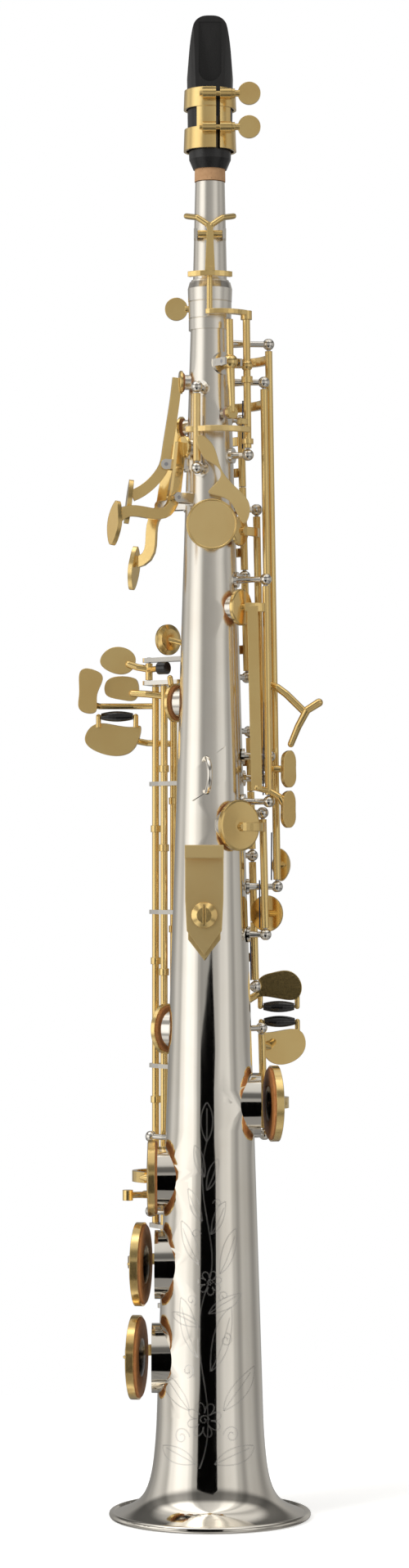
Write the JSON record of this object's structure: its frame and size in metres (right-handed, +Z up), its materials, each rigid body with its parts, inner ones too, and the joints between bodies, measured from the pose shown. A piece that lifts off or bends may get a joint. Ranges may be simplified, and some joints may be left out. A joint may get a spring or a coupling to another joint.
{
  "type": "soprano saxophone",
  "caption": "Straight soprano saxophone with conical silver-plated body, flared bell, gold-lacquered keywork, detachable neck and black mouthpiece.",
  "frame": {"origin": "centre of the bell mouth, on the lowest plane of its rolled rim", "axes": "+Z up the bore from the bell toward the mouthpiece, -Y toward the player, +X to the player's right"},
  "size_m": [0.1137, 0.093, 0.6894],
  "materials": {
    "silver_plate": "bright silver plate",
    "post_silver": "polished silver plate",
    "rod_steel": "ground steel",
    "gold_lacquer": "clear gold lacquer",
    "cork": "matt cork",
    "hard_rubber": "satin black hard rubber",
    "pad_leather": "tan leather",
    "roller_black": "polished black"
  },
  "bodies": {
    "instrument": {"bell_flare": "silver_plate", "bell_rim": "silver_plate", "body_tube": "silver_plate", "hinge_rods": "rod_steel", "key_posts": "post_silver", "ligature": "gold_lacquer", "mouthpiece": "hard_rubber", "neck_cork": "cork", "neck_receiver": "silver_plate", "neck_tube": "silver_plate", "octave_vents": "silver_plate", "rod_brackets": "post_silver", "strap_ring": "silver_plate", "thumb_hook_plate": "gold_lacquer", "thumb_rest": "gold_lacquer"},
    "low_bb_key": {"low_bb_key": "gold_lacquer", "low_bb_pad": "pad_leather"},
    "low_b_key": {"low_b_key": "gold_lacquer", "low_b_pad": "pad_leather"},
    "low_c_sharp_lever": {"low_c_sharp_lever": "gold_lacquer"},
    "low_c_sharp_key": {"low_c_sharp_key": "gold_lacquer"},
    "low_c_key": {"low_c_key": "gold_lacquer", "low_c_pad": "pad_leather"},
    "low_eb_key": {"low_eb_key": "gold_lacquer"},
    "d_key": {"d_key": "gold_lacquer"},
    "e_key": {"e_key": "gold_lacquer"},
    "f_key": {"f_key": "gold_lacquer"},
    "f_sharp_key": {"f_sharp_key": "gold_lacquer"},
    "g_key": {"g_key": "gold_lacquer"},
    "bis_key": {"bis_key": "gold_lacquer"},
    "a_key": {"a_key": "gold_lacquer"},
    "b_key": {"b_key": "gold_lacquer"},
    "c_vent_key": {"c_vent_key": "gold_lacquer"},
    "front_f_key": {"front_f_key": "gold_lacquer"},
    "g_sharp_key": {"g_sharp_key": "gold_lacquer"},
    "g_sharp_lever": {"g_sharp_lever": "gold_lacquer"},
    "f_sharp_trill_key": {"f_sharp_trill_key": "gold_lacquer"},
    "side_bb_key": {"side_bb_key": "gold_lacquer"},
    "side_c_key": {"side_c_key": "gold_lacquer"},
    "high_e_key": {"high_e_key": "gold_lacquer"},
    "high_f_sharp_key": {"high_f_sharp_key": "gold_lacquer"},
    "octave_lever": {"octave_lever": "gold_lacquer"},
    "octave_rocker": {"octave_rocker": "gold_lacquer"},
    "palm_d_key": {"palm_d_key": "gold_lacquer"},
    "palm_eb_key": {"palm_eb_key": "gold_lacquer"},
    "palm_f_key": {"palm_f_key": "gold_lacquer"},
    "body_octave_key": {"body_octave_key": "gold_lacquer"},
    "neck_octave_key": {"neck_octave_key": "gold_lacquer"},
    "neck_clamp_screw": {"neck_clamp_screw": "gold_lacquer"},
    "ligature_screw_upper": {"ligature_screw_upper": "gold_lacquer"},
    "ligature_screw_lower": {"ligature_screw_lower": "gold_lacquer"},
    "thumb_hook_screw": {"thumb_hook_screw": "gold_lacquer"},
    "thumb_hook": {"thumb_hook": "gold_lacquer"},
    "low_bb_roller": {"low_bb_roller": "roller_black"},
    "low_eb_roller": {"low_eb_roller": "roller_black"},
    "low_c_roller": {"low_c_roller": "roller_black"}
  },
  "joints": [
    {"name": "low_bb_key_turn", "type": "hinge", "parent": "instrument", "child": "low_bb_key", "pos_m": [-0.017, 0.031, 0.056], "axis": [0, 0, 1], "range_deg": [0, 8.5], "stiffness_Nm_per_rad": 0.02, "springref_deg": -8.02},
    {"name": "low_b_key_turn", "type": "hinge", "parent": "instrument", "child": "low_b_key", "pos_m": [-0.0215, 0.0265, 0.096], "axis": [0, 0, 1], "range_deg": [0, 8.5], "stiffness_Nm_per_rad": 0.02, "springref_deg": -8.02},
    {"name": "low_c_sharp_lever_turn", "type": "hinge", "parent": "instrument", "child": "low_c_sharp_lever", "pos_m": [-0.0255, 0.034, 0.128], "axis": [0, 0, 1], "range_deg": [0, 7], "stiffness_Nm_per_rad": 0.02, "springref_deg": -8.02},
    {"name": "low_c_sharp_key_turn", "type": "hinge", "parent": "instrument", "child": "low_c_sharp_key", "pos_m": [-0.0275, 0.0213, 0.138], "axis": [0, 0, 1], "range_deg": [-7, 0]},
    {"name": "low_c_key_turn", "type": "hinge", "parent": "instrument", "child": "low_c_key", "pos_m": [0.0255, 0.0218, 0.172], "axis": [-0.0278, -0.0093, 0.9996], "range_deg": [-9, 0], "stiffness_Nm_per_rad": 0.02, "springref_deg": 8.02},
    {"name": "low_eb_key_turn", "type": "hinge", "parent": "instrument", "child": "low_eb_key", "pos_m": [0, 0.0285, 0.205], "axis": [0, -0.0156, 0.9999], "range_deg": [-8, 0], "stiffness_Nm_per_rad": 0.02, "springref_deg": 8.02},
    {"name": "d_key_turn", "type": "hinge", "parent": "instrument", "child": "d_key", "pos_m": [0.02118, 0.01655, 0.2435], "axis": [-0.0247, -0.0193, 0.9995], "range_deg": [0, 7], "stiffness_Nm_per_rad": 0.02, "springref_deg": -8.02},
    {"name": "e_key_turn", "type": "hinge", "parent": "instrument", "child": "e_key", "pos_m": [0.02118, 0.01655, 0.2435], "axis": [-0.0247, -0.0193, 0.9995], "range_deg": [0, 7], "stiffness_Nm_per_rad": 0.02, "springref_deg": -8.02},
    {"name": "f_key_turn", "type": "hinge", "parent": "instrument", "child": "f_key", "pos_m": [0.02118, 0.01655, 0.2435], "axis": [-0.0247, -0.0193, 0.9995], "range_deg": [0, 7], "stiffness_Nm_per_rad": 0.02, "springref_deg": -8.02},
    {"name": "f_sharp_key_turn", "type": "hinge", "parent": "instrument", "child": "f_sharp_key", "pos_m": [0.02118, 0.01655, 0.2435], "axis": [-0.0247, -0.0193, 0.9995], "range_deg": [0, 7]},
    {"name": "g_key_turn", "type": "hinge", "parent": "instrument", "child": "g_key", "pos_m": [0.01725, 0.01348, 0.387], "axis": [-0.0247, -0.0193, 0.9995], "range_deg": [0, 7], "stiffness_Nm_per_rad": 0.02, "springref_deg": -8.02},
    {"name": "bis_key_turn", "type": "hinge", "parent": "instrument", "child": "bis_key", "pos_m": [0.01725, 0.01348, 0.387], "axis": [-0.0247, -0.0193, 0.9995], "range_deg": [0, 6], "stiffness_Nm_per_rad": 0.02, "springref_deg": -8.02},
    {"name": "a_key_turn", "type": "hinge", "parent": "instrument", "child": "a_key", "pos_m": [0.01725, 0.01348, 0.387], "axis": [-0.0247, -0.0193, 0.9995], "range_deg": [0, 7], "stiffness_Nm_per_rad": 0.02, "springref_deg": -8.02},
    {"name": "b_key_turn", "type": "hinge", "parent": "instrument", "child": "b_key", "pos_m": [0.01725, 0.01348, 0.387], "axis": [-0.0247, -0.0193, 0.9995], "range_deg": [0, 7], "stiffness_Nm_per_rad": 0.02, "springref_deg": -8.02},
    {"name": "c_vent_key_turn", "type": "hinge", "parent": "instrument", "child": "c_vent_key", "pos_m": [0.01725, 0.01348, 0.387], "axis": [-0.0247, -0.0193, 0.9995], "range_deg": [0, 7]},
    {"name": "front_f_key_turn", "type": "hinge", "parent": "instrument", "child": "front_f_key", "pos_m": [0.01725, 0.01348, 0.387], "axis": [-0.0247, -0.0193, 0.9995], "range_deg": [0, 5], "stiffness_Nm_per_rad": 0.02, "springref_deg": -8.02},
    {"name": "g_sharp_key_turn", "type": "hinge", "parent": "instrument", "child": "g_sharp_key", "pos_m": [-0.001, 0.022, 0.3634], "axis": [0, -0.0174, 0.9998], "range_deg": [-7, 0]},
    {"name": "g_sharp_lever_turn", "type": "hinge", "parent": "instrument", "child": "g_sharp_lever", "pos_m": [-0.0285, 0.0265, 0.385], "axis": [0, 0, 1], "range_deg": [0, 7], "stiffness_Nm_per_rad": 0.02, "springref_deg": -8.02},
    {"name": "f_sharp_trill_key_turn", "type": "hinge", "parent": "instrument", "child": "f_sharp_trill_key", "pos_m": [0.0256, -0.0024, 0.268], "axis": [-0.0241, -0.0034, 0.9997], "range_deg": [0, 8], "stiffness_Nm_per_rad": 0.02, "springref_deg": -8.02},
    {"name": "side_bb_key_turn", "type": "hinge", "parent": "instrument", "child": "side_bb_key", "pos_m": [0.027, -0.007, 0.329], "axis": [-0.0137, 0, 0.9999], "range_deg": [0, 7], "stiffness_Nm_per_rad": 0.02, "springref_deg": -8.02},
    {"name": "side_c_key_turn", "type": "hinge", "parent": "instrument", "child": "side_c_key", "pos_m": [0.024, 0.005, 0.34], "axis": [-0.0202, 0, 0.9998], "range_deg": [0, 7], "stiffness_Nm_per_rad": 0.02, "springref_deg": -8.02},
    {"name": "high_e_key_turn", "type": "hinge", "parent": "instrument", "child": "high_e_key", "pos_m": [0.0274, -0.0015, 0.35], "axis": [-0.0151, 0, 0.9999], "range_deg": [-6, 0], "stiffness_Nm_per_rad": 0.02, "springref_deg": 8.02},
    {"name": "high_f_sharp_key_turn", "type": "hinge", "parent": "instrument", "child": "high_f_sharp_key", "pos_m": [0.031, 0.0025, 0.29], "axis": [-0.016, 0, 0.9999], "range_deg": [-6, 0], "stiffness_Nm_per_rad": 0.02, "springref_deg": 8.02},
    {"name": "octave_lever_turn", "type": "hinge", "parent": "instrument", "child": "octave_lever", "pos_m": [-0.006, -0.0154, 0.4812], "axis": [0, 0.0215, 0.9998], "range_deg": [0, 5], "stiffness_Nm_per_rad": 0.02, "springref_deg": -8.02},
    {"name": "octave_rocker_turn", "type": "hinge", "parent": "instrument", "child": "octave_rocker", "pos_m": [0.0174, -0.007, 0.488], "axis": [-0.0118, 0, 0.9999], "range_deg": [0, 5]},
    {"name": "palm_d_key_turn", "type": "hinge", "parent": "instrument", "child": "palm_d_key", "pos_m": [-0.01605, -0.01082, 0.468], "axis": [0.5592, -0.829, 0], "range_deg": [0, 5], "stiffness_Nm_per_rad": 0.05, "springref_deg": -8.02},
    {"name": "palm_eb_key_turn", "type": "hinge", "parent": "instrument", "child": "palm_eb_key", "pos_m": [-0.02218, 0.00896, 0.466], "axis": [-0.3746, -0.9272, 0], "range_deg": [0, 5], "stiffness_Nm_per_rad": 0.05, "springref_deg": -8.02},
    {"name": "palm_f_key_turn", "type": "hinge", "parent": "instrument", "child": "palm_f_key", "pos_m": [-0.0205, -0.00252, 0.484], "axis": [0.1219, -0.9925, 0], "range_deg": [0, 5], "stiffness_Nm_per_rad": 0.05, "springref_deg": -8.02},
    {"name": "body_octave_key_turn", "type": "hinge", "parent": "instrument", "child": "body_octave_key", "pos_m": [0.00924, -0.01183, 0.53], "axis": [0.788, 0.6157, 0], "range_deg": [-4, 0], "stiffness_Nm_per_rad": 0.02, "springref_deg": 8.02},
    {"name": "neck_octave_key_turn", "type": "hinge", "parent": "instrument", "child": "neck_octave_key", "pos_m": [0, -0.0094, 0.589], "axis": [1, 0, 0], "range_deg": [-5, 0]},
    {"name": "neck_clamp_screw_turn", "type": "hinge", "parent": "instrument", "child": "neck_clamp_screw", "pos_m": [-0.005, 0.0116, 0.5576], "axis": [1, 0, 0], "continuous": true},
    {"name": "ligature_screw_upper_turn", "type": "hinge", "parent": "instrument", "child": "ligature_screw_upper", "pos_m": [0.005, -0.0136, 0.6525], "axis": [1, 0, 0], "continuous": true},
    {"name": "ligature_screw_lower_turn", "type": "hinge", "parent": "instrument", "child": "ligature_screw_lower", "pos_m": [0.005, -0.0136, 0.6372], "axis": [1, 0, 0], "continuous": true},
    {"name": "thumb_hook_screw_turn", "type": "hinge", "parent": "instrument", "child": "thumb_hook_screw", "pos_m": [-0.0026, -0.02, 0.2772], "axis": [0, -1, 0], "continuous": true},
    {"name": "thumb_hook_slide", "type": "slide", "parent": "instrument", "child": "thumb_hook", "axis": [0, 0, 1], "range_m": [-0.003, 0], "stiffness_N_per_m": 2000},
    {"name": "low_bb_roller_turn", "type": "hinge", "parent": "low_bb_key", "child": "low_bb_roller", "pos_m": [-0.05106, 0.03649, 0.3698], "axis": [0.989, -0.1478, 0], "continuous": true},
    {"name": "low_eb_roller_turn", "type": "hinge", "parent": "low_eb_key", "child": "low_eb_roller", "pos_m": [0.025, 0.0312, 0.2336], "axis": [1, 0, 0], "continuous": true},
    {"name": "low_c_roller_turn", "type": "hinge", "parent": "low_c_key", "child": "low_c_roller", "pos_m": [0.02538, 0.03175, 0.22656], "axis": [0.9877, 0.1564, 0.0011], "continuous": true}
  ],
  "couplings": [
    {"joint": "low_c_sharp_key_turn", "follows": "low_c_sharp_lever_turn", "ratio": -1},
    {"joint": "g_sharp_key_turn", "follows": "g_sharp_lever_turn", "ratio": -1},
    {"joint": "c_vent_key_turn", "follows": "b_key_turn", "ratio": 1},
    {"joint": "f_sharp_key_turn", "follows": "f_key_turn", "ratio": 1},
    {"joint": "octave_rocker_turn", "follows": "octave_lever_turn", "ratio": 1},
    {"joint": "neck_octave_key_turn", "follows": "octave_lever_turn", "ratio": -1}
  ]
}
